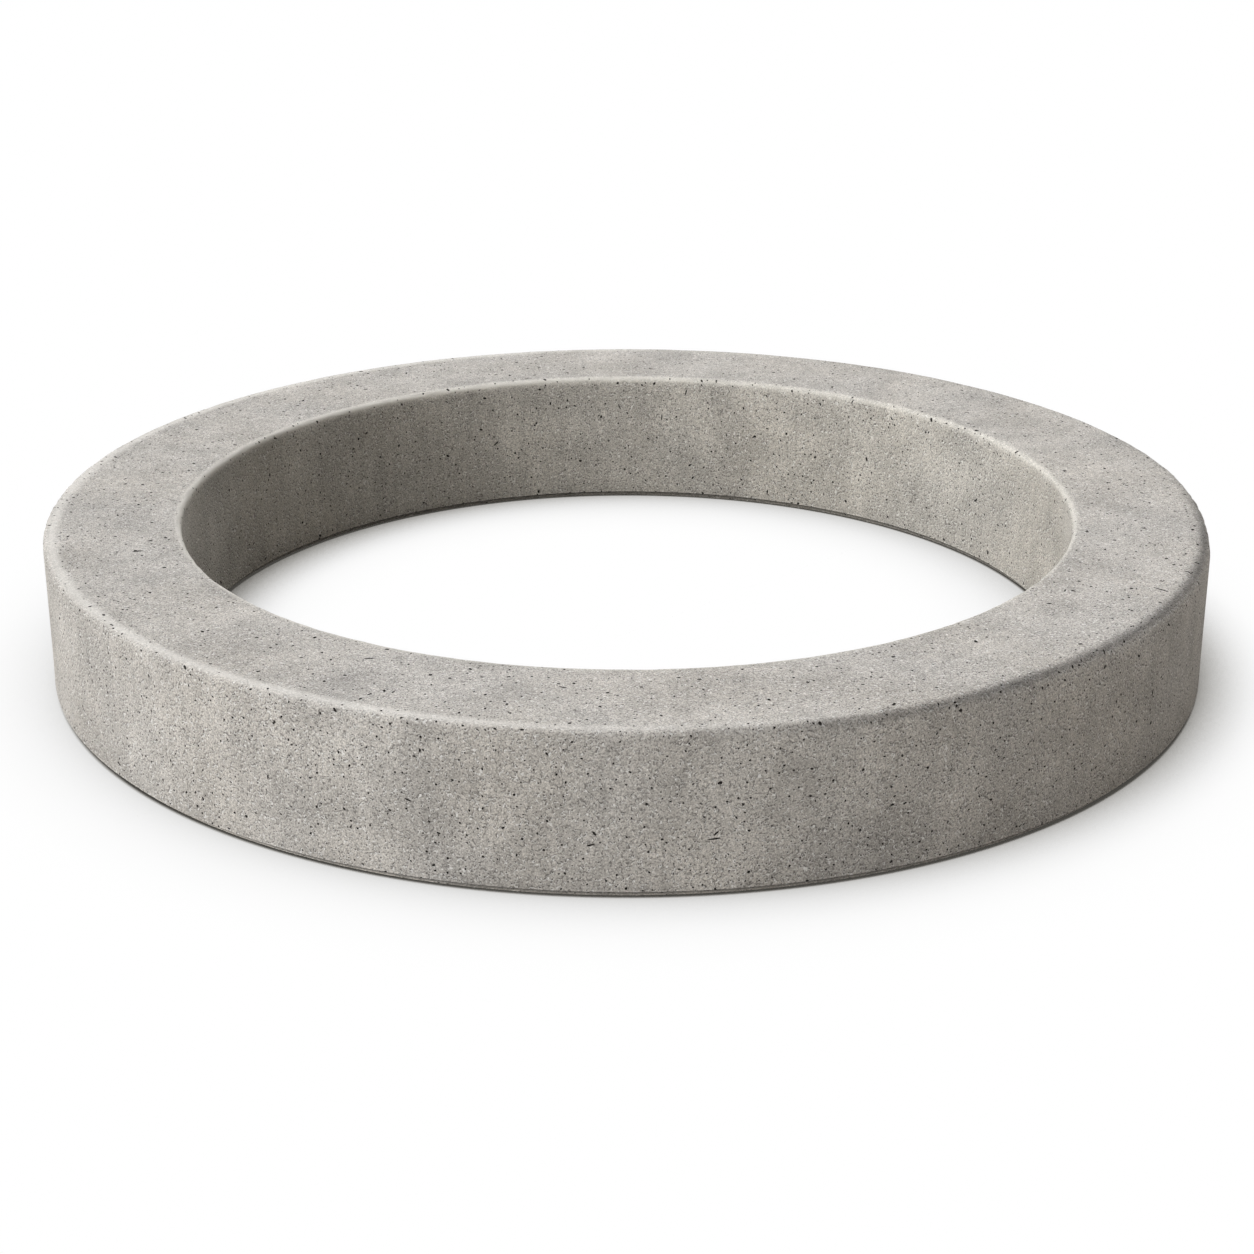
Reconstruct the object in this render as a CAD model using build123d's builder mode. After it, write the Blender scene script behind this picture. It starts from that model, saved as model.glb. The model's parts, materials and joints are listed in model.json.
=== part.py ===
from build123d import *
import os

# A precast concrete adjustment ring: one of the low rings that are bedded in mortar between a
# manhole's cone and its cover frame, to bring the cover up to the level of the road.
# Millimetres, +Z up, with the origin on the ring's axis in its bottom face.

# Driving dimensions
BORE_DIAMETER = 600.0  # clear opening of the shaft
WALL_WIDTH = 90.0  # from the bore to the outside
RING_HEIGHT = 100.0  # how much one ring raises the cover
TOP_ARRIS_RADIUS = 4.0  # rounding of both edges of the upper face
FOOT_CHAMFER = 4.0  # bevel of both edges of the bed face, left by the mould

# The wall stands outside this radius
bore_radius = BORE_DIAMETER / 2

# The section of the wall, rounded at the top and bevelled at the foot, turned once about the axis
with BuildPart() as concrete_ring:
    with BuildSketch(Plane.XZ) as wall_section:
        with Locations((bore_radius, 0)):
            Rectangle(WALL_WIDTH, RING_HEIGHT, align=(Align.MIN, Align.MIN))
        fillet(wall_section.vertices().group_by(Axis.Y)[-1], radius=TOP_ARRIS_RADIUS)
        chamfer(wall_section.vertices().group_by(Axis.Y)[0], length=FOOT_CHAMFER)
    revolve(axis=Axis.Z)

concrete_ring.part.label = "concrete_ring"

os.makedirs("parts", exist_ok=True)
export_step(concrete_ring.part, "parts/concrete_ring.step")
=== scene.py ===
"""Casts the concrete adjustment ring with its pores and sandy skin, and sets a plain studio round it."""

import json
import math
from typing import NamedTuple

import bpy
import numpy as np
from mathutils import Matrix, Vector


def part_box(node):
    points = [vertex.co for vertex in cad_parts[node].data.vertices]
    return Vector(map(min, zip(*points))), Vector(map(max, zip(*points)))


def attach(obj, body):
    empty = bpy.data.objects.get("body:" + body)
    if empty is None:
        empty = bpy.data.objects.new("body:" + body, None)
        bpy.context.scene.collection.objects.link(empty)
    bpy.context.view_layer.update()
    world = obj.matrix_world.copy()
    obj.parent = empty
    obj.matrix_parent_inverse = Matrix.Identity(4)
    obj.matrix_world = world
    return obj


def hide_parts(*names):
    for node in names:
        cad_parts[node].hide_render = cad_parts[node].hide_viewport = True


bl_info = {
    "name": "Concrete Adjustment Ring",
    "version": (1, 0, 0),
    "blender": (4, 5, 0),
    "location": "3D View > Sidebar > Adjustment Ring",
    "description": "Casts a concrete adjustment ring with its air pores and sets a plain studio round it",
    "category": "Object",
}

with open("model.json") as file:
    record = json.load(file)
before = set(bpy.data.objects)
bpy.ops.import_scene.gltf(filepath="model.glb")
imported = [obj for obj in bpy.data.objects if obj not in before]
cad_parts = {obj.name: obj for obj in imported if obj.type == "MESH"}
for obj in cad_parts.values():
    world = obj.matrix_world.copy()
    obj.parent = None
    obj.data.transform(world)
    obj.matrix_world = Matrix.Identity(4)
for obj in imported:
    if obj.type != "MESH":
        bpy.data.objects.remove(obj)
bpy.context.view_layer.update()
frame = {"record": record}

# What the frame says about the ring, in metres
RING_LOW, RING_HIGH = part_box("concrete_ring")
MOUNTS = {mount["name"]: mount for mount in frame["record"]["mounts"]}
BORE_RADIUS = MOUNTS["access_bore"]["dims"]["r_mm"] / 1000
OUTER_RADIUS = RING_HIGH.x
RING_HEIGHT = RING_HIGH.z - RING_LOW.z

SIDE_CUTS = 9  # an odd number, so that a row of points runs along the middle of each side
ARRIS_STEPS = 5
CREASE = math.radians(38)  # edges that bend by more are shaded as sharp

# What is added to a seed for the next kind of hollow, and for other draws on the same points
NEXT_KIND = 10.0
STRETCH_DRAW = 100.0
SPIN_DRAW = 200.0

# On the front's right half the outer arris has been rubbed down to a larger radius. The wear comes in
# between two places along X and between two along Y
WORN_ARRIS = 0.009
WORN_RIGHT = (0.03, 0.18)
WORN_FRONT = (0.08, -0.08)

# How far apart the lumps of each pattern lie, in metres
WANDER_GRAIN = 0.06
CRUMBLE_GRAIN = 0.012
RAGGED_GRAIN = 0.0016
HUE_GRAIN = 0.09
CLOUD_GRAIN = 0.05
STREAK_GRAIN = 0.006
STROKE_GRAIN = 0.0034
GRIT_GRAIN = 0.001

STREAK_SQUEEZE = (1.0, 1.0, 0.07)  # draws the streaks out along Z
RIDGE_SHIFT = (0.0, 0.0006, 0.0006)  # sets each ridge beside its groove, so that the painted highlight lies beside the painted shade
PINHOLE_SHIFT = (0.37, 0.11, 0.23)  # takes the pinholes from another part of the pattern than the grains

PALE_GRAIN_AND_HIGHLIGHT = (0.88, 0.87, 0.85, 1.0)  # the sand grains' pale colour, and the painted highlights on the strokes' ridge lines and the pinholes' rims
ARRIS_HIGHLIGHT = (0.86, 0.835, 0.795, 1.0)  # pale colour painted along the arrises as their highlight
# painted shade in the pinholes, partly dirt
PINHOLE_SHADE_AND_DIRT = (0.09, 0.08, 0.067, 1.0)
# painted shade in the pores, partly dirt
PORE_SHADE_AND_DIRT = (0.012, 0.01, 0.008, 1.0)
# warm light painted into the bore, as if bounced between its walls
BORE_BOUNCE_TINT = (1.0, 1.0, 0.975, 1.0)
PAPER_WHITE = (1.0, 1.0, 1.0, 1.0)
SHADOW_TINT = (1.06, 1.0, 0.88, 1.0)  # the ring's own colour, sent into its shadow

FLOOR_SIDE = 30.0
FLOOR_DARKEST = 0.06
SHADOW_FALL = 3.0  # a larger number draws the shadow closer to the foot
LEE_LEAN = (-1.0, 0.18, 0.6)  # from the floor towards the light that the ring hides on its lee side

# Colours of the lamps, two of them for light that comes back from warm surroundings
NEUTRAL = (1.0, 1.0, 1.0)
WARM = (1.01, 1.0, 0.985)
WARMER = (1.08, 1.0, 0.91)


class Nick(NamedTuple):
    """A nick that stands out, with its angles in degrees.

    Its place is its height on a wall, or its radius on the top. The length and the width are halves, and
    the turn counts from level on a wall, or from the tangent on the top.
    """

    face: str
    angle: float
    place: float
    length: float
    width: float
    turn: float


NICKS = (
    Nick("wall", 277.0, 0.0350, 0.0040, 0.0006, 4.0),
    Nick("wall", 267.1, 0.0325, 0.0026, 0.0006, 16.0),
    Nick("wall", 267.4, 0.0395, 0.0018, 0.0008, -50.0),
    Nick("wall", 277.4, 0.0685, 0.0014, 0.0010, 20.0),
    Nick("wall", 324.4, 0.0530, 0.0024, 0.0008, 80.0),
    Nick("top", 198.8, 0.3320, 0.0038, 0.0010, 95.0),
    Nick("top", 331.8, 0.3730, 0.0058, 0.0007, 107.0),
    Nick("top", 337.5, 0.3830, 0.0060, 0.0008, 109.0),
    Nick("bore", 70.1, 0.0560, 0.0012, 0.0010, 0.0),
)
NICK_DEPTH = 0.0012
NICK_RAGGEDNESS = 0.0006


class RingSizes(bpy.types.PropertyGroup):
    """The ring's own sizes, of which the radii and the height follow the frame."""

    bore_radius: bpy.props.FloatProperty(
        name="Bore Radius", description="Radius of the clear opening",
        default=BORE_RADIUS, min=0.05, unit="LENGTH", precision=4)
    outer_radius: bpy.props.FloatProperty(
        name="Outer Radius", description="Radius of the outside",
        default=OUTER_RADIUS, min=0.06, unit="LENGTH", precision=4)
    height: bpy.props.FloatProperty(
        name="Height", description="From the bed face to the upper face",
        default=RING_HEIGHT, min=0.02, unit="LENGTH", precision=4)
    arris_radius: bpy.props.FloatProperty(
        name="Arris Radius", description="Rounding of both edges of the upper face",
        default=0.004, min=0.001, unit="LENGTH", precision=4)
    foot_bevel: bpy.props.FloatProperty(
        name="Foot Bevel", description="Bevel of both edges of the bed face",
        default=0.004, min=0.001, unit="LENGTH", precision=4)
    segments: bpy.props.IntProperty(
        name="Segments", description="Facets round the ring, an even number",
        default=480, min=32)


class CastFinish(bpy.types.PropertyGroup):
    """How the concrete came out of its mould."""

    grey: bpy.props.FloatVectorProperty(
        name="Grey", description="Colour of the dry concrete skin",
        default=(0.463, 0.44, 0.411), min=0.0, max=1.0, subtype="COLOR")
    unevenness: bpy.props.FloatProperty(
        name="Unevenness", description="How far the faces wander from true",
        default=0.0005, min=0.0, unit="LENGTH", precision=5)
    edge_wear: bpy.props.FloatProperty(
        name="Edge Wear", description="How far the edges have crumbled",
        default=0.0009, min=0.0, unit="LENGTH", precision=5)
    pores: bpy.props.FloatProperty(
        name="Pores", description="Air pores on each square metre, before their share on each face",
        default=10500.0, min=0.0)
    blowholes: bpy.props.FloatProperty(
        name="Blowholes", description="Larger holes on each square metre, before their share on each face",
        default=2300.0, min=0.0)
    nicks: bpy.props.FloatProperty(
        name="Nicks", description="Long nicks on each square metre, before their share on each face",
        default=150.0, min=0.0)
    chips: bpy.props.FloatProperty(
        name="Chips", description="Chips on each square metre of edge",
        default=4000.0, min=0.0)
    seed: bpy.props.IntProperty(
        name="Seed", description="Another number gives another casting", default=7)


class StudioStage(bpy.types.PropertyGroup):
    """The camera's place and the studio's light."""

    camera_distance: bpy.props.FloatProperty(
        name="Camera Distance", description="From the ring's axis, on the ground",
        default=1.5545, unit="LENGTH", precision=4)
    camera_height: bpy.props.FloatProperty(
        name="Camera Height", description="Above the floor",
        default=0.6248, unit="LENGTH", precision=4)
    camera_dip: bpy.props.FloatProperty(
        name="Camera Dip", description="How far the camera looks down",
        default=math.radians(21.748), subtype="ANGLE")
    lens: bpy.props.FloatProperty(
        name="Lens", description="Focal length on a 36 mm sensor", default=68.809, unit="CAMERA")
    floor_grey: bpy.props.FloatVectorProperty(
        name="Floor Grey", description="How much light the floor sends back to the ring",
        default=(0.425, 0.41, 0.385), min=0.0, max=1.0, subtype="COLOR")
    shadow_reach: bpy.props.FloatProperty(
        name="Shadow Reach", description="How far from the ring its shadow on the floor fades out",
        default=0.12, min=0.01, unit="LENGTH", precision=3)
    shadow_depth: bpy.props.FloatProperty(
        name="Shadow Depth", description="Strength of the even shadow all round the ring's foot",
        default=2.05, min=0.0)
    lee_depth: bpy.props.FloatProperty(
        name="Lee Depth", description="Strength of the shadow on the side away from the left",
        default=1.45, min=0.0)


def socket_of(sockets, key):
    """Finds a socket by number, or by name among those that the node's options leave in use."""
    if isinstance(key, int):
        return sockets[key]
    return next(socket for socket in sockets if socket.name == key and socket.enabled)


def output_of(source):
    """A node stands for its first output that is in use."""
    if isinstance(source, bpy.types.Node):
        return next(socket for socket in source.outputs if socket.enabled)
    return source


def add(tree, kind, sockets=None, **options):
    """Adds a node, sets its options, and fills its sockets with values or with other nodes' outputs."""
    node = tree.nodes.new(kind)
    for name, value in options.items():
        setattr(node, name, value)
    for key, value in (sockets or {}).items():
        for single in value if isinstance(value, list) else [value]:
            if isinstance(single, (bpy.types.Node, bpy.types.NodeSocket)):
                tree.links.new(output_of(single), socket_of(node.inputs, key))
            else:
                socket_of(node.inputs, key).default_value = single
    return node


def calc(tree, operation, *values, clamp=False):
    """Adds a Math node on values or outputs."""
    return add(tree, "ShaderNodeMath", dict(enumerate(values)), operation=operation, use_clamp=clamp)


def spread(tree, value, low, high, to_low=0.0, to_high=1.0, smooth=False):
    """Carries a value from one range to another, held at the ends."""
    sockets = {"Value": value, "From Min": low, "From Max": high, "To Min": to_low, "To Max": to_high}
    return add(tree, "ShaderNodeMapRange", sockets, interpolation_type="SMOOTHSTEP" if smooth else "LINEAR")


def chance(tree, low, high, seed):
    """Adds an even random number between two values."""
    return add(tree, "FunctionNodeRandomValue", {"Min": low, "Max": high, "Seed": seed}, data_type="FLOAT")


def noise(tree, place, grain, detail=2.0, roughness=0.5):
    """Adds a noise whose lumps are about as far apart as the grain, in metres."""
    sockets = {"Vector": place, "Scale": 1 / grain, "Detail": detail, "Roughness": roughness}
    return add(tree, "ShaderNodeTexNoise", sockets)


def from_axis(tree, place):
    """How far a place is from the ring's axis."""
    flat = add(tree, "ShaderNodeVectorMath", {0: place, 1: (1.0, 1.0, 0.0)}, operation="MULTIPLY")
    return add(tree, "ShaderNodeVectorMath", {0: flat}, operation="LENGTH").outputs["Value"]


def new_tree(name, kind, inputs, outputs):
    """Makes a node group with named sockets, and gives it with its input and output nodes."""
    tree = bpy.data.node_groups.new(name, kind)
    for direction, wanted in (("INPUT", inputs), ("OUTPUT", outputs)):
        for socket_name, (socket_type, default) in wanted.items():
            socket = tree.interface.new_socket(socket_name, in_out=direction, socket_type=socket_type)
            if default is not None:
                socket.default_value = default
    return tree, tree.nodes.new("NodeGroupInput").outputs, tree.nodes.new("NodeGroupOutput").inputs


GEOMETRY = ("NodeSocketGeometry", None)
MATERIAL = ("NodeSocketMaterial", None)


def number(default):
    """A decimal socket of a node group, with its value."""
    return "NodeSocketFloat", default


def whole(default):
    """A whole-number socket of a node group, with its value."""
    return "NodeSocketInt", default


def void_tree():
    """Strews closed ragged hollows over a surface, to be cut out of it."""
    inputs = {
        "Surface": GEOMETRY, "Shape": GEOMETRY, "Share": number(1.0), "Count": number(1000.0),
        "Apart": number(0.004), "Smallest": number(0.0007), "Largest": number(0.001), "Rarity": number(2.0),
        "Stretch": number(1.5), "Depth": number(0.8), "Raggedness": number(0.0003), "Seed": whole(0),
    }
    tree, given, made = new_tree("Strewn hollows", "GeometryNodeTree", inputs, {"Hollows": GEOMETRY})
    places = add(tree, "GeometryNodeDistributePointsOnFaces", {
        "Mesh": given["Surface"], "Distance Min": given["Apart"], "Density Max": given["Count"],
        "Density Factor": given["Share"], "Seed": given["Seed"]}, distribute_method="POISSON")
    draw = calc(tree, "POWER", chance(tree, 0.0, 1.0, given["Seed"]), given["Rarity"])
    size = spread(tree, draw, 0.0, 1.0, given["Smallest"], given["Largest"])
    stretch = chance(tree, 1.0, given["Stretch"], calc(tree, "ADD", given["Seed"], STRETCH_DRAW))
    long_side = calc(tree, "MULTIPLY", size, stretch)
    deep_side = calc(tree, "MULTIPLY", size, given["Depth"])
    scale = add(tree, "ShaderNodeCombineXYZ", {"X": long_side, "Y": size, "Z": deep_side})
    spin = chance(tree, 0.0, math.tau, calc(tree, "ADD", given["Seed"], SPIN_DRAW))
    about = add(tree, "FunctionNodeAxisAngleToRotation", {"Axis": (0.0, 0.0, 1.0), "Angle": spin})
    turned = add(tree, "FunctionNodeRotateRotation",
                 {"Rotation": places.outputs["Rotation"], "Rotate By": about}, rotation_space="LOCAL")
    hollows = add(tree, "GeometryNodeInstanceOnPoints", {
        "Points": places, "Instance": given["Shape"], "Rotation": turned, "Scale": scale})
    solid = add(tree, "GeometryNodeRealizeInstances", {"Geometry": hollows})
    ragged = ragged_hollows(tree, solid, given["Raggedness"], given["Seed"])
    tree.links.new(ragged.outputs[0], made["Hollows"])
    return tree


def ragged_hollows(tree, solid, raggedness, seed):
    """Roughens closed hollows and marks their faces, each hollow with its own share of painted shade and
    dirt.
    """
    grain = noise(tree, add(tree, "GeometryNodeInputPosition"), RAGGED_GRAIN, 1.0)
    centred = add(tree, "ShaderNodeVectorMath", {0: grain.outputs["Color"], 1: (0.5, 0.5, 0.5)},
                  operation="SUBTRACT")
    shift = add(tree, "ShaderNodeVectorMath", {0: centred, "Scale": raggedness}, operation="SCALE")
    ragged = add(tree, "GeometryNodeSetPosition", {"Geometry": solid, "Offset": shift})
    each = add(tree, "GeometryNodeInputMeshIsland").outputs["Island Index"]
    dark = add(tree, "FunctionNodeRandomValue", {"Min": 0.93, "Max": 1.0, "ID": each, "Seed": seed},
               data_type="FLOAT")
    sockets = {"Geometry": ragged, "Name": "hollow", "Value": dark}
    return add(tree, "GeometryNodeStoreNamedAttribute", sockets, data_type="FLOAT", domain="FACE")


def wall_section(tree, given):
    """Draws the wall's section with rounded upper corners and bevelled lower ones."""
    outline = add(tree, "GeometryNodeCurvePrimitiveQuadrilateral",
                  {"Width": given["Wall Width"], "Height": given["Height"]})
    dotted = add(tree, "GeometryNodeSubdivideCurve", {"Curve": outline, "Cuts": SIDE_CUTS})
    step = calc(tree, "MODULO", add(tree, "GeometryNodeInputIndex"), SIDE_CUTS + 1.0)
    corner = calc(tree, "LESS_THAN", step, 0.5)
    place = add(tree, "ShaderNodeSeparateXYZ", {0: add(tree, "GeometryNodeInputPosition")})
    upper = calc(tree, "LESS_THAN", place.outputs["Y"], 0.0)  # the sweep turns the section over
    radius = spread(tree, upper, 0.0, 1.0, given["Foot Bevel"], given["Arris Radius"])
    steps = spread(tree, upper, 0.0, 1.0, 1.0, ARRIS_STEPS)
    return add(tree, "GeometryNodeFilletCurve", {
        "Curve": dotted, "Radius": calc(tree, "MULTIPLY", radius, corner), "Count": steps}, mode="POLY")


def swept_wall(tree, given):
    """Sweeps the section round the ring and stands it on its bed face."""
    half_wall = calc(tree, "MULTIPLY", given["Wall Width"], 0.5)
    middle = calc(tree, "ADD", given["Bore Radius"], half_wall)
    path = add(tree, "GeometryNodeCurvePrimitiveCircle",
               {"Resolution": given["Segments"], "Radius": middle})
    level = add(tree, "GeometryNodeSetCurveNormal", {"Curve": path}, mode="Z_UP")
    section = wall_section(tree, given)
    wall = add(tree, "GeometryNodeCurveToMesh", {"Curve": level, "Profile Curve": section})
    half_height = calc(tree, "MULTIPLY", given["Height"], 0.5)
    lift = add(tree, "ShaderNodeCombineXYZ", {"Z": half_height})
    return add(tree, "GeometryNodeSetPosition", {"Geometry": wall, "Offset": lift})


def eased_arris(tree, given, wall):
    """Rounds the outer arris off further on the front's right half, where it has been rubbed down."""
    place = add(tree, "GeometryNodeInputPosition")
    axes = add(tree, "ShaderNodeSeparateXYZ", {0: place}).outputs
    outer = calc(tree, "ADD", given["Bore Radius"], given["Wall Width"])
    out = spread(tree, from_axis(tree, place), calc(tree, "SUBTRACT", outer, WORN_ARRIS), outer)
    up = spread(tree, axes["Z"], calc(tree, "SUBTRACT", given["Height"], WORN_ARRIS), given["Height"])
    squares = calc(tree, "ADD", calc(tree, "POWER", out, 2.0), calc(tree, "POWER", up, 2.0))
    reach = calc(tree, "MAXIMUM", calc(tree, "SQRT", squares), 1.0)
    drawn_in = calc(tree, "SUBTRACT", calc(tree, "DIVIDE", WORN_ARRIS, reach), WORN_ARRIS)
    to_right = spread(tree, axes["X"], *WORN_RIGHT, smooth=True)
    to_front = spread(tree, axes["Y"], *WORN_FRONT, smooth=True)
    pull = calc(tree, "MULTIPLY", drawn_in, calc(tree, "MULTIPLY", to_right, to_front))
    flat = add(tree, "ShaderNodeCombineXYZ", {"X": axes["X"], "Y": axes["Y"]})
    outwards = add(tree, "ShaderNodeVectorMath", {0: flat}, operation="NORMALIZE")
    sideways = add(tree, "ShaderNodeVectorMath", {
        0: outwards, "Scale": calc(tree, "MULTIPLY", pull, out)}, operation="SCALE")
    upwards = add(tree, "ShaderNodeCombineXYZ", {"Z": calc(tree, "MULTIPLY", pull, up)})
    shift = add(tree, "ShaderNodeVectorMath", {0: sideways, 1: upwards}, operation="ADD")
    return add(tree, "GeometryNodeSetPosition", {"Geometry": wall, "Offset": shift})


def edge_share(tree):
    """One on the slopes of the arrises and the bevels, and nothing on the flat faces and the walls."""
    tilt = add(tree, "ShaderNodeSeparateXYZ", {0: add(tree, "GeometryNodeInputNormal")})
    slope = calc(tree, "ABSOLUTE", tilt.outputs["Z"])
    rest = calc(tree, "SUBTRACT", 1.0, slope)
    lift = 4.5  # with four, only the middle of a slope would come up to one
    return calc(tree, "MULTIPLY", calc(tree, "MULTIPLY", slope, rest), lift, clamp=True)


def worn_wall(tree, given, wall):
    """Lets the faces wander inwards a little and crumbles the edges, and keeps the bed face flat."""
    place = add(tree, "GeometryNodeInputPosition")
    wander = calc(tree, "MULTIPLY", noise(tree, place, WANDER_GRAIN), given["Unevenness"])
    crumble = spread(tree, noise(tree, place, CRUMBLE_GRAIN), 0.42, 0.75)
    wear = calc(tree, "MULTIPLY", calc(tree, "MULTIPLY", crumble, edge_share(tree)), given["Edge Wear"])
    height = add(tree, "ShaderNodeSeparateXYZ", {0: place}).outputs["Z"]
    full_from = 0.02  # the height above which the foot no longer holds the wear back
    above_foot = spread(tree, height, given["Foot Bevel"], full_from)
    depth = calc(tree, "MULTIPLY", calc(tree, "ADD", wander, wear), above_foot)
    inwards = calc(tree, "MULTIPLY", depth, -1.0)
    shift = add(tree, "ShaderNodeVectorMath", {
        0: add(tree, "GeometryNodeInputNormal"), "Scale": inwards}, operation="SCALE")
    return add(tree, "GeometryNodeSetPosition", {"Geometry": wall, "Offset": shift})


def across_wall(tree, given, in_bore, outside):
    """Runs from one value at the bore to another at the outside."""
    radius = from_axis(tree, add(tree, "GeometryNodeInputPosition"))
    outer = calc(tree, "ADD", given["Bore Radius"], given["Wall Width"])
    return spread(tree, radius, given["Bore Radius"], outer, in_bore, outside)


def pore_share(tree, given):
    """Fewer pores in the bore than on the outside, more along the edges, and fewest in the bed face."""
    height = add(tree, "ShaderNodeSeparateXYZ", {0: add(tree, "GeometryNodeInputPosition")}).outputs["Z"]
    above_bed = spread(tree, height, 0.0005, 0.004, 0.35, 1.0)
    on_walls = across_wall(tree, given, in_bore=0.65, outside=0.8)
    edged = calc(tree, "ADD", on_walls, calc(tree, "MULTIPLY", edge_share(tree), 0.2))
    return calc(tree, "MULTIPLY", edged, above_bed, clamp=True)


def blowhole_share(tree, given):
    """Most on the upper face, about half as many in the bore, few outside and none in the bed face."""
    facing = add(tree, "ShaderNodeSeparateXYZ", {0: add(tree, "GeometryNodeInputNormal")}).outputs["Z"]
    on_top = spread(tree, facing, 0.3, 0.9)
    off_bed = spread(tree, facing, -0.9, -0.3)
    on_walls = calc(tree, "MULTIPLY", across_wall(tree, given, in_bore=0.4, outside=0.12), off_bed)
    return calc(tree, "MAXIMUM", calc(tree, "MULTIPLY", on_top, 0.75), on_walls)


def pit_shape(tree):
    """A six-sided pit that narrows inwards, with its wide end just clear of the skin."""
    wide_end, length, clear = 1.15, 1.3, 0.25
    cone = add(tree, "GeometryNodeMeshCone", {
        "Vertices": 6, "Side Segments": 1, "Fill Segments": 1,
        "Radius Top": wide_end, "Radius Bottom": 0.0, "Depth": length}, fill_type="NGON")
    return add(tree, "GeometryNodeSetPosition", {"Geometry": cone, "Offset": (0.0, 0.0, clear - length)})


def single_nicks(tree, sizes):
    """Sets the nicks that stand out, each a flat ball along its own direction in the skin."""
    ball = add(tree, "GeometryNodeMeshIcoSphere", {"Radius": 1.0, "Subdivisions": 2})
    placed = []
    for nick in NICKS:
        angle, turn = math.radians(nick.angle), math.radians(nick.turn)
        outwards = Vector((math.cos(angle), math.sin(angle), 0.0))
        around, up = Vector((-outwards.y, outwards.x, 0.0)), Vector((0.0, 0.0, 1.0))
        if nick.face == "top":
            place, across, out = outwards * nick.place + up * sizes.height, outwards, up
        else:
            radius = sizes.outer_radius if nick.face == "wall" else sizes.bore_radius
            place, across, out = outwards * radius + up * nick.place, up, outwards
        along = around * math.cos(turn) + across * math.sin(turn)
        turned = Matrix((along, out.cross(along), out)).transposed().to_euler()
        placed.append(add(tree, "GeometryNodeTransform", {
            "Geometry": ball, "Translation": place, "Rotation": turned,
            "Scale": (nick.length, nick.width, NICK_DEPTH)}))
    joined = add(tree, "GeometryNodeJoinGeometry", {"Geometry": placed})
    return ragged_hollows(tree, joined, NICK_RAGGEDNESS, seed=0)


def ring_inputs(sizes, finish):
    """The casting's inputs, each with its kind of socket and the value that the settings give it."""
    return {
        "Bore Radius": number(sizes.bore_radius),
        "Wall Width": number(sizes.outer_radius - sizes.bore_radius),
        "Height": number(sizes.height),
        "Arris Radius": number(sizes.arris_radius),
        "Foot Bevel": number(sizes.foot_bevel),
        "Segments": whole(sizes.segments),
        "Unevenness": number(finish.unevenness),
        "Edge Wear": number(finish.edge_wear),
        "Pores": number(finish.pores),
        "Blowholes": number(finish.blowholes),
        "Nicks": number(finish.nicks),
        "Chips": number(finish.chips),
        "Seed": whole(finish.seed),
        "Concrete": MATERIAL,
    }


def ring_tree(sizes, inputs):
    """The whole casting: the swept wall, worn and uneven, with its pores, nicks and chips cut out."""
    tree, given, made = new_tree("Cast ring", "GeometryNodeTree", inputs, {"Ring": GEOMETRY})
    wall = worn_wall(tree, given, eased_arris(tree, given, swept_wall(tree, given)))
    hollow = void_tree()
    ball = add(tree, "GeometryNodeMeshIcoSphere", {"Radius": 1.0, "Subdivisions": 1})
    kinds = {
        "Pores": {"Shape": pit_shape(tree), "Apart": 0.0026, "Smallest": 0.0005, "Largest": 0.0008,
                  "Rarity": 1.5, "Stretch": 1.6, "Depth": 1.1, "Raggedness": 0.0006},
        "Blowholes": {"Shape": ball, "Apart": 0.008, "Smallest": 0.0008, "Largest": 0.0012,
                      "Rarity": 1.5, "Stretch": 1.9, "Depth": 0.9, "Raggedness": 0.0011},
        "Nicks": {"Shape": ball, "Apart": 0.02, "Smallest": 0.0005, "Largest": 0.0007,
                  "Rarity": 1.0, "Stretch": 6.0, "Depth": 1.2, "Raggedness": 0.0012},
        "Chips": {"Shape": ball, "Apart": 0.005, "Smallest": 0.0005, "Largest": 0.001,
                  "Rarity": 2.0, "Stretch": 2.4, "Depth": 0.6, "Raggedness": 0.001},
    }
    all_over = pore_share(tree, given)
    shares = {
        "Blowholes": blowhole_share(tree, given),
        "Chips": calc(tree, "POWER", edge_share(tree), 2.0),
    }
    cut_out = [single_nicks(tree, sizes)]
    for order, (kind, makeup) in enumerate(kinds.items()):
        sockets = {
            "Surface": wall, "Share": shares.get(kind, all_over), "Count": given[kind],
            "Seed": calc(tree, "ADD", given["Seed"], order * NEXT_KIND),
        }
        cut_out.append(add(tree, "GeometryNodeGroup", sockets | makeup, node_tree=hollow))
    cast = add(tree, "GeometryNodeMeshBoolean", {"Mesh 1": wall, "Mesh 2": cut_out},
               operation="DIFFERENCE", solver="MANIFOLD")
    smooth = add(tree, "GeometryNodeSetShadeSmooth",
                 {"Geometry": cast, "Shade Smooth": True}, domain="FACE")
    angle = add(tree, "GeometryNodeInputMeshEdgeAngle").outputs["Unsigned Angle"]
    sharp = calc(tree, "GREATER_THAN", angle, CREASE)
    creased = add(tree, "GeometryNodeSetShadeSmooth",
                  {"Geometry": smooth, "Selection": sharp, "Shade Smooth": False}, domain="EDGE")
    single = add(tree, "GeometryNodeRealizeInstances", {"Geometry": creased})
    coated = add(tree, "GeometryNodeSetMaterial", {"Geometry": single, "Material": given["Concrete"]})
    tree.links.new(coated.outputs[0], made["Ring"])
    return tree


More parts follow.
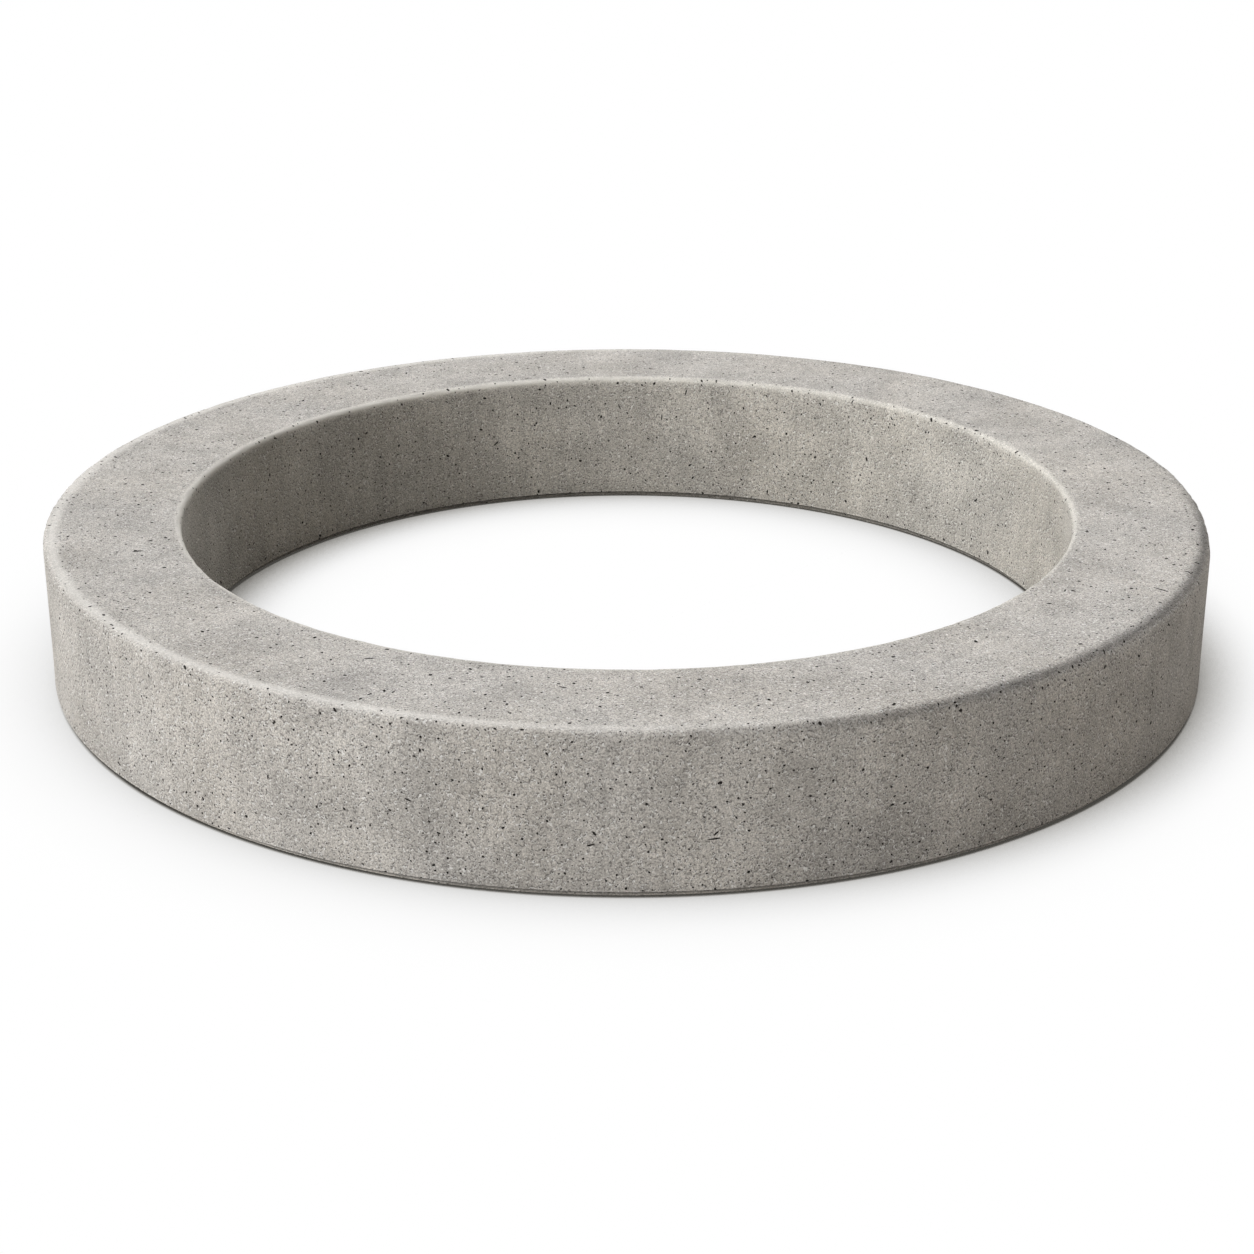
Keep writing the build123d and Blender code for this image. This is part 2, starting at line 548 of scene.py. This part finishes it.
def mesh_from_tree(name, tree, values):
    """Runs a geometry tree once, with its inputs set by name, and keeps the result as a plain mesh."""
    holder = bpy.data.objects.new(name, bpy.data.meshes.new(name + "_start"))
    bpy.context.scene.collection.objects.link(holder)
    modifier = holder.modifiers.new(name, "NODES")
    modifier.node_group = tree
    for socket in tree.interface.items_tree:
        if socket.item_type == "SOCKET" and socket.in_out == "INPUT":
            modifier[socket.identifier] = values[socket.name]
    settled = holder.evaluated_get(bpy.context.evaluated_depsgraph_get())
    mesh = bpy.data.meshes.new_from_object(settled)
    holder.modifiers.remove(modifier)
    holder.data = mesh
    if not mesh.polygons:
        raise RuntimeError(f"{name} came out empty")
    return holder


def section_run(radius, height, sizes):
    """Where points lie along the section: 0 in the bed face's middle, then out, up and back to 1."""
    round_off = sizes.arris_radius
    wide = (sizes.outer_radius - sizes.bore_radius) / 2 - round_off
    tall = sizes.height / 2 - round_off
    across = radius - (sizes.outer_radius + sizes.bore_radius) / 2
    up = height - sizes.height / 2
    core_across = np.clip(across, -wide, wide)
    core_up = np.clip(up, -tall, tall)
    turn = np.arctan2(across - core_across, core_up - up) % math.tau
    # The bed face's half next to the bore is the end of the run, not its start
    level = turn < 1e-6
    turn = np.where(level & (core_across < 0), math.tau, turn)
    sideways = np.select([turn <= math.pi / 2, turn <= math.pi * 1.5],
                         [core_across, 2 * wide - core_across], 4 * wide + core_across)
    upwards = np.where(turn <= math.pi, core_up + tall, 3 * tall - core_up)
    return (round_off * turn + sideways + upwards) / (math.tau * round_off + 4 * wide + 4 * tall)


def unroll(mesh, sizes):
    """Lays the skin out as two half rings, one above the other, in the UV map named OFBake."""
    corners, faces = len(mesh.loops), len(mesh.polygons)
    points = np.empty(len(mesh.vertices) * 3, np.float32)
    mesh.vertices.foreach_get("co", points)
    vertex = np.empty(corners, np.int32)
    mesh.loops.foreach_get("vertex_index", vertex)
    count = np.empty(faces, np.int32)
    mesh.polygons.foreach_get("loop_total", count)
    face = np.repeat(np.arange(faces), count)
    place = points.reshape(-1, 3)[vertex].astype(np.float64)
    centre = np.stack([np.bincount(face, axis) for axis in place.T], 1) / count[:, None]
    centre_angle = (np.arctan2(centre[:, 1], centre[:, 0]) % math.tau)[face]
    angle = np.arctan2(place[:, 1], place[:, 0])
    angle = centre_angle + (angle - centre_angle + math.pi) % math.tau - math.pi
    half = np.floor(centre_angle / math.pi)
    run = section_run(np.hypot(place[:, 0], place[:, 1]), place[:, 2], sizes)
    along = angle / math.pi - half
    margin = 0.003
    layout = np.stack([along, (half + margin + run * (1 - 2 * margin)) / 2], 1)
    layout = np.clip(layout, 0.0, 1.0).astype(np.float32)
    mesh.uv_layers.new(name="OFBake").uv.foreach_set("vector", layout.ravel())


def speck_tree():
    """Round spots strewn through the concrete, of uneven size where the skin cuts them, with a painted
    highlight below.
    """
    inputs = {
        "Position": ("NodeSocketVector", None), "Apart": number(0.003), "Radius": number(0.0005),
        "Share": number(0.5),
    }
    outputs = {"Spot": number(0.0), "Rim Highlight": number(0.0)}
    tree, given, made = new_tree("Specks", "ShaderNodeTree", inputs, outputs)
    scale = calc(tree, "DIVIDE", 1.0, given["Apart"])
    cells = add(tree, "ShaderNodeTexVoronoi", {"Vector": given["Position"], "Scale": scale}, feature="F1")
    reach = calc(tree, "MULTIPLY", cells.outputs["Distance"], given["Apart"])
    draw = add(tree, "ShaderNodeSeparateColor", {0: cells.outputs["Color"]})
    chosen = calc(tree, "LESS_THAN", draw.outputs["Red"], given["Share"])
    uneven = spread(tree, draw.outputs["Green"], 0.0, 1.0, 0.6, 1.0)
    radius = calc(tree, "MULTIPLY", given["Radius"], uneven)
    inner = calc(tree, "MULTIPLY", radius, 0.75)
    outer = calc(tree, "MULTIPLY", radius, 1.7)
    spot = spread(tree, reach, inner, radius, 1.0, 0.0)
    around = spread(tree, reach, radius, outer, 1.0, 0.0)
    # the rim below each spot gets a painted highlight, as if its lower edge caught light from above
    below = add(tree, "ShaderNodeVectorMath", {0: cells.outputs["Position"], 1: given["Position"]},
                operation="SUBTRACT")
    drop = add(tree, "ShaderNodeSeparateXYZ", {0: below}).outputs["Z"]
    facing = spread(tree, drop, calc(tree, "MULTIPLY", radius, -1.0), radius)
    lit_rim = calc(tree, "MULTIPLY", calc(tree, "SUBTRACT", around, spot), facing)
    tree.links.new(calc(tree, "MULTIPLY", spot, chosen).outputs[0], made["Spot"])
    tree.links.new(calc(tree, "MULTIPLY", lit_rim, chosen).outputs[0], made["Rim Highlight"])
    return tree


def mix_colour(tree, factor, first, second, blend="MIX"):
    """Lays one colour over another."""
    sockets = {"Factor": factor, "A": first, "B": second}
    return add(tree, "ShaderNodeMix", sockets, data_type="RGBA", blend_type=blend)


def grey_tone(tree, value):
    """Turns a number into a grey, to be multiplied with a colour."""
    return add(tree, "ShaderNodeCombineColor", {"Red": value, "Green": value, "Blue": value})


def arris_band(tree, inset, depth, centre, reach):
    """One along a line on an arris, fading out within a reach, in metres across the arris.

    The inset is counted from the wall and the depth from the upper face, so that their difference runs
    from the upper face over the rounding and down the wall.
    """
    across = calc(tree, "SUBTRACT", depth, inset)
    away = calc(tree, "ABSOLUTE", calc(tree, "SUBTRACT", across, centre))
    farthest = 0.04
    near = calc(tree, "LESS_THAN", calc(tree, "ADD", depth, inset), farthest)
    return calc(tree, "MULTIPLY", spread(tree, away, 0.0, reach, 1.0, 0.0, smooth=True), near)


def painted_foot_shade(tree, axes, inner_inset, sizes):
    """Paints shade on the foot's bevel, least on the lit left, and a pale highlight on the lip under
    painted shade.
    """
    bevel = sizes.foot_bevel
    # painted shade in a line just above the lip
    shade_above_lip = spread(tree, axes["Z"], bevel + 0.0015, bevel + 0.007, 0.92, 1.0)
    # painted highlight on the lip
    lip = spread(tree, axes["Z"], bevel + 0.001, bevel + 0.0015, 1.1, 1.0)
    # painted shade on the outer bevel, paler on the lit left and darker elsewhere
    painted_side_shade = spread(tree, axes["X"], -0.27, -0.2, 1.3, 0.32)
    # painted shade on both bevels, deepest under the lip and paler towards the floor
    outside = spread(tree, axes["Z"], 0.0, bevel, 1.7, painted_side_shade)
    inside = spread(tree, axes["Z"], 0.0, bevel, 1.2, 0.2)
    bore_side = calc(tree, "LESS_THAN", inner_inset, bevel)
    under = spread(tree, bore_side, 0.0, 1.0, outside, inside)
    foot = spread(tree, axes["Z"], 0.97 * bevel, 1.03 * bevel, under, 1.0)
    return calc(tree, "MULTIPLY", calc(tree, "MULTIPLY", shade_above_lip, lip), foot)


def strokes(tree, place, offset, breadth):
    """Short winding strokes, about a grain apart: one along their middle, and nothing between them."""
    moved = add(tree, "ShaderNodeVectorMath", {0: place, 1: offset}, operation="ADD")
    away = calc(tree, "ABSOLUTE", calc(tree, "SUBTRACT", noise(tree, moved, STROKE_GRAIN, 1.0), 0.5))
    line = spread(tree, away, 0.25 * breadth, breadth, 1.0, 0.0)
    kept = spread(tree, noise(tree, moved, 0.6 * STROKE_GRAIN, 0.0), 0.52, 0.58)
    return calc(tree, "MULTIPLY", line, kept)


def mottled_skin(tree, place, depth, finish):
    """Warm grey with clouds, upright streaks, grit and strokes: painted shade in each groove, painted light
    beside it.
    """
    grey = Vector(finish.grey)
    hue = spread(tree, noise(tree, place, HUE_GRAIN), 0.35, 0.65)
    cool = (grey.x * 0.992, grey.y * 0.998, grey.z * 1.008, 1.0)
    warm = (grey.x * 1.008, grey.y * 1.002, grey.z * 0.992, 1.0)
    skin = mix_colour(tree, hue, cool, warm)

    clouds = spread(tree, noise(tree, place, CLOUD_GRAIN, 5.0, 0.63), 0.3, 0.7, 0.78, 1.22)
    drawn_out = add(tree, "ShaderNodeVectorMath", {0: place, 1: STREAK_SQUEEZE}, operation="MULTIPLY")
    streaks = spread(tree, noise(tree, drawn_out, STREAK_GRAIN), 0.3, 0.7, 0.93, 1.07)
    grit = spread(tree, noise(tree, place, GRIT_GRAIN, 1.0, 0.7), 0.25, 0.75, 0.5, 1.5)
    trowelled = spread(tree, depth, 0.001, 0.005, 0.75, 1.0)
    # painted shade in each stroke's groove and a painted highlight on the ridge beside it; the bump gives
    # the same relief
    shaded_grooves = calc(tree, "MULTIPLY", strokes(tree, place, (0.0, 0.0, 0.0), breadth=0.075), trowelled)
    lit_ridges = calc(tree, "MULTIPLY", strokes(tree, place, RIDGE_SHIFT, breadth=0.05), trowelled)
    groove_shade = spread(tree, shaded_grooves, 0.0, 1.0, 1.0, 0.55)
    patches = calc(tree, "MULTIPLY", clouds, streaks)
    tone = calc(tree, "MULTIPLY", calc(tree, "MULTIPLY", patches, grit), groove_shade)
    skin = mix_colour(tree, 1.0, skin, grey_tone(tree, tone), "MULTIPLY")
    skin = mix_colour(tree, calc(tree, "MULTIPLY", lit_ridges, 0.7), skin, PALE_GRAIN_AND_HIGHLIGHT)
    # gives each groove and ridge too, for the bump
    return skin, shaded_grooves, lit_ridges


def speckled_skin(tree, place, skin):
    """Adds pale sand grains, and pinholes with painted shade and dirt and highlit rims, and gives the
    pinholes' spots as well.
    """
    specks = speck_tree()
    grains = add(tree, "ShaderNodeGroup", {
        "Position": place, "Apart": 0.0036, "Radius": 0.0008, "Share": 0.08}, node_tree=specks).outputs
    skin = mix_colour(tree, calc(tree, "MULTIPLY", grains["Spot"], 0.75), skin, PALE_GRAIN_AND_HIGHLIGHT)
    shifted = add(tree, "ShaderNodeVectorMath", {0: place, 1: PINHOLE_SHIFT}, operation="ADD")
    pinholes = add(tree, "ShaderNodeGroup", {
        "Position": shifted, "Apart": 0.0028, "Radius": 0.0007, "Share": 0.7}, node_tree=specks).outputs
    # painted highlight on the lower rim of each pinhole
    skin = mix_colour(tree, calc(tree, "MULTIPLY", pinholes["Rim Highlight"], 0.85), skin, PALE_GRAIN_AND_HIGHLIGHT)
    # pinholes painted dark, as shade and partly dirt
    skin = mix_colour(tree, calc(tree, "MULTIPLY", pinholes["Spot"], 0.8), skin, PINHOLE_SHADE_AND_DIRT)
    return skin, pinholes["Spot"]


def edged_skin(tree, axes, depth, radius, sizes, skin):
    """Paints highlights on the arrises, shade on the front's right outer arris and the foot, warm bounce in
    the bore.
    """
    outer_inset = calc(tree, "SUBTRACT", sizes.outer_radius, radius)
    inner_inset = calc(tree, "SUBTRACT", radius, sizes.bore_radius)
    # painted highlights along both arrises
    outer_highlight_band = arris_band(tree, outer_inset, depth, centre=-0.0058, reach=0.007)
    inner_highlight_band = arris_band(tree, inner_inset, depth, centre=0.0003, reach=0.0065)
    # the painted highlights fade out towards the shaded right
    outer_highlight = calc(tree, "MULTIPLY", outer_highlight_band, spread(tree, axes["X"], -0.12, 0.15, 0.48, 0.0))
    inner_highlight = calc(tree, "MULTIPLY", inner_highlight_band, spread(tree, axes["X"], -0.2, 0.2, 1.0, 0.32))
    skin = mix_colour(tree, calc(tree, "ADD", inner_highlight, outer_highlight, clamp=True), skin, ARRIS_HIGHLIGHT)

    # painted shade along the outer arris on the front's right, the side away from the light
    painted_shade_centre = spread(tree, axes["X"], 0.15, 0.28, 0.001, -0.0032)
    painted_shade_depth = spread(tree, axes["X"], 0.0, 0.2, 0.03, 0.52)
    painted_shade_band = arris_band(tree, outer_inset, depth, painted_shade_centre, reach=0.008)
    painted_side_shade = calc(tree, "MULTIPLY", painted_shade_band, painted_shade_depth)
    to_front = spread(tree, axes["Y"], *WORN_FRONT)
    painted_shade_tone = calc(tree, "SUBTRACT", 1.0, calc(tree, "MULTIPLY", painted_side_shade, to_front))
    # together with the painted shade at the foot
    painted_shade_tone = calc(tree, "MULTIPLY", painted_shade_tone, painted_foot_shade(tree, axes, inner_inset, sizes))
    skin = mix_colour(tree, 1.0, skin, grey_tone(tree, painted_shade_tone), "MULTIPLY")
    # painted warm bounce light in the bore
    in_bore = spread(tree, inner_inset, 0.001, 0.006, 1.0, 0.0)
    return mix_colour(tree, in_bore, skin, BORE_BOUNCE_TINT, "MULTIPLY")


def concrete_material(sizes, finish):
    """Dry cast concrete: warm grey, sandy, mottled, with pinholes, pale sand grains and dark pores."""
    material = bpy.data.materials.new("cast_concrete")
    material.use_nodes = True
    tree = material.node_tree
    shader = tree.nodes["Principled BSDF"].inputs
    place = add(tree, "ShaderNodeTexCoord").outputs["Object"]
    axes = add(tree, "ShaderNodeSeparateXYZ", {0: place}).outputs
    depth = calc(tree, "SUBTRACT", sizes.height, axes["Z"])
    skin, shaded_grooves, lit_ridges = mottled_skin(tree, place, depth, finish)
    skin, pinholes = speckled_skin(tree, place, skin)
    skin = edged_skin(tree, axes, depth, from_axis(tree, place), sizes, skin)
    # the hollows painted near black, partly as dirt and partly as the shade deep inside them
    hollow = add(tree, "ShaderNodeAttribute", attribute_name="hollow").outputs["Fac"]
    skin = mix_colour(tree, hollow, skin, PORE_SHADE_AND_DIRT)
    tree.links.new(output_of(skin), shader["Base Color"])

    sunk = calc(tree, "MAXIMUM", shaded_grooves, pinholes)
    relief = calc(tree, "SUBTRACT", lit_ridges, sunk)
    bump = add(tree, "ShaderNodeBump", {"Strength": 0.8, "Distance": 0.0003, "Height": relief})
    tree.links.new(bump.outputs["Normal"], shader["Normal"])
    shader["Roughness"].default_value = 0.92
    shader["Specular IOR Level"].default_value = 0.3
    return material


class RING_OT_cast(bpy.types.Operator):
    """Casts the ring, with its rounded arrises, bevelled foot, pores, nicks and chips"""

    bl_idname = "ring.cast"
    bl_label = "Cast Ring"

    def execute(self, context):
        sizes, finish = context.scene.ring_sizes, context.scene.cast_finish
        inputs = ring_inputs(sizes, finish)
        values = {name: value for name, (_, value) in inputs.items()}
        values["Concrete"] = concrete_material(sizes, finish)
        ring = mesh_from_tree("cast_ring", ring_tree(sizes, inputs), values)
        unroll(ring.data, sizes)
        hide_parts("concrete_ring")
        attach(ring, "root")
        return {"FINISHED"}


def seen_directly(tree):
    """One for the rays that show a surface to the camera, straight, mirrored or through glass."""
    light_path = add(tree, "ShaderNodeLightPath")
    mirrored = calc(tree, "MAXIMUM", light_path.outputs["Is Glossy Ray"],
                    light_path.outputs["Is Transmission Ray"])
    return calc(tree, "MAXIMUM", light_path.outputs["Is Camera Ray"], mirrored)


def shade(tree, reach, depth, lean=None):
    """How dark the floor gets where the ring hides the air within a reach, straight up or leaning over."""
    open_air = add(tree, "ShaderNodeAmbientOcclusion", {"Distance": reach}, samples=16)
    if lean:
        towards = Vector(lean).normalized()
        direction = add(tree, "ShaderNodeCombineXYZ", {"X": towards.x, "Y": towards.y, "Z": towards.z})
        tree.links.new(direction.outputs[0], open_air.inputs["Normal"])
    hidden = calc(tree, "SUBTRACT", 1.0, open_air.outputs["AO"])
    return calc(tree, "MULTIPLY", calc(tree, "POWER", hidden, SHADOW_FALL), depth)


def floor_material(stage):
    """White paper that shows white where it is open, and keeps the ring's short soft shadow."""
    material = bpy.data.materials.new("studio_floor")
    material.use_nodes = True
    tree = material.node_tree
    tree.nodes.remove(tree.nodes["Principled BSDF"])
    lit = add(tree, "ShaderNodeBsdfDiffuse", {"Color": (*stage.floor_grey, 1.0)})
    even = shade(tree, stage.shadow_reach, stage.shadow_depth)
    lee = shade(tree, stage.shadow_reach / 2, stage.lee_depth, LEE_LEAN)
    open_share = calc(tree, "SUBTRACT", 1.0, calc(tree, "ADD", even, lee))
    bright = calc(tree, "MAXIMUM", open_share, FLOOR_DARKEST)
    dark = calc(tree, "POWER", calc(tree, "SUBTRACT", 1.0, bright), 2.0)
    tint = mix_colour(tree, dark, PAPER_WHITE, SHADOW_TINT)
    shown = add(tree, "ShaderNodeEmission", {"Color": tint, "Strength": bright})
    surface = add(tree, "ShaderNodeMixShader", {0: seen_directly(tree), 1: lit, 2: shown})
    tree.links.new(surface.outputs[0], tree.nodes["Material Output"].inputs["Surface"])
    return material


def new_lamp(name, kind, energy, tint):
    """Adds a lamp to the studio, to be sized and turned."""
    lamp = bpy.data.lights.new(name, kind)
    lamp.energy = energy
    lamp.color = tint
    holder = bpy.data.objects.new(name, lamp)
    bpy.context.scene.collection.objects.link(holder)
    return holder


def sun(name, azimuth, elevation, strength, width, tint=NEUTRAL):
    """A broad soft light far away, by its angle round from +X, its height and its width, in degrees."""
    holder = new_lamp(name, "SUN", strength, tint)
    holder.data.angle = math.radians(width)
    around, above = math.radians(azimuth), math.radians(elevation)
    level = math.cos(above)
    towards = Vector((math.cos(around) * level, math.sin(around) * level, math.sin(above)))
    holder.rotation_euler = towards.to_track_quat("Z", "Y").to_euler()


def softbox(name, place, side, power, tint=NEUTRAL):
    """A square lamp that faces the ring's middle."""
    holder = new_lamp(name, "AREA", power, tint)
    holder.data.shape = "SQUARE"
    holder.data.size = side
    holder.location = place
    middle = Vector((0.0, 0.0, RING_HEIGHT / 2))
    holder.rotation_euler = (Vector(place) - middle).to_track_quat("Z", "Y").to_euler()


class RING_OT_stage(bpy.types.Operator):
    """Sets the pale floor, the soft lights and the camera"""

    bl_idname = "ring.stage"
    bl_label = "Set Stage"

    def execute(self, context):
        scene, stage = context.scene, context.scene.studio_stage
        bpy.ops.mesh.primitive_plane_add(size=FLOOR_SIDE)
        floor = context.object
        floor.name = "studio_floor"
        floor.data.materials.append(floor_material(stage))

        world = bpy.data.worlds.new("studio_world")
        world.use_nodes = True
        tree = world.node_tree
        background = tree.nodes["Background"]
        background.inputs["Color"].default_value = PAPER_WHITE
        tree.links.new(output_of(seen_directly(tree)), background.inputs["Strength"])
        scene.world = world

        sun("back_light", azimuth=110, elevation=64, strength=2.3, width=65)
        sun("left_front_light", azimuth=225, elevation=20, strength=1.76, width=50, tint=WARM)
        sun("left_light", azimuth=200, elevation=30, strength=1.0, width=50)
        softbox("left_fill", place=(-1.2, -0.9, 0.22), side=0.6, power=1.6)
        softbox("back_fill", place=(0.0, 1.2, 0.7), side=0.6, power=1.0)
        softbox("right_fill", place=(1.5, -0.8, 0.5), side=0.8, power=2.9, tint=WARMER)

        lens = bpy.data.cameras.new("studio_camera")
        lens.sensor_width = 36.0
        lens.lens = stage.lens
        camera = bpy.data.objects.new("studio_camera", lens)
        camera.location = (0.0, -stage.camera_distance, stage.camera_height)
        camera.rotation_euler = (math.pi / 2 - stage.camera_dip, 0.0, 0.0)
        scene.collection.objects.link(camera)
        scene.camera = camera
        scene.view_settings.view_transform = "Standard"
        return {"FINISHED"}


class VIEW3D_PT_adjustment_ring(bpy.types.Panel):
    """The ring's sizes and finish, the stage, and what makes them"""

    bl_label = "Adjustment Ring"
    bl_idname = "VIEW3D_PT_adjustment_ring"
    bl_space_type = "VIEW_3D"
    bl_region_type = "UI"
    bl_category = "Adjustment Ring"

    def draw(self, context):
        scene = context.scene
        for settings, operator in ((scene.ring_sizes, None), (scene.cast_finish, RING_OT_cast.bl_idname),
                                   (scene.studio_stage, RING_OT_stage.bl_idname)):
            box = self.layout.box()
            for name in settings.__annotations__:
                box.prop(settings, name)
            if operator:
                box.operator(operator)


CLASSES = (RingSizes, CastFinish, StudioStage, RING_OT_cast, RING_OT_stage, VIEW3D_PT_adjustment_ring)
SETTINGS = {"ring_sizes": RingSizes, "cast_finish": CastFinish, "studio_stage": StudioStage}


def register():
    for kind in CLASSES:
        bpy.utils.register_class(kind)
    for name, kind in SETTINGS.items():
        setattr(bpy.types.Scene, name, bpy.props.PointerProperty(type=kind))


def unregister():
    for name in SETTINGS:
        delattr(bpy.types.Scene, name)
    for kind in reversed(CLASSES):
        bpy.utils.unregister_class(kind)


def main():
    register()
    bpy.ops.ring.cast()
    bpy.ops.ring.stage()


if __name__ == "__main__":
    main()
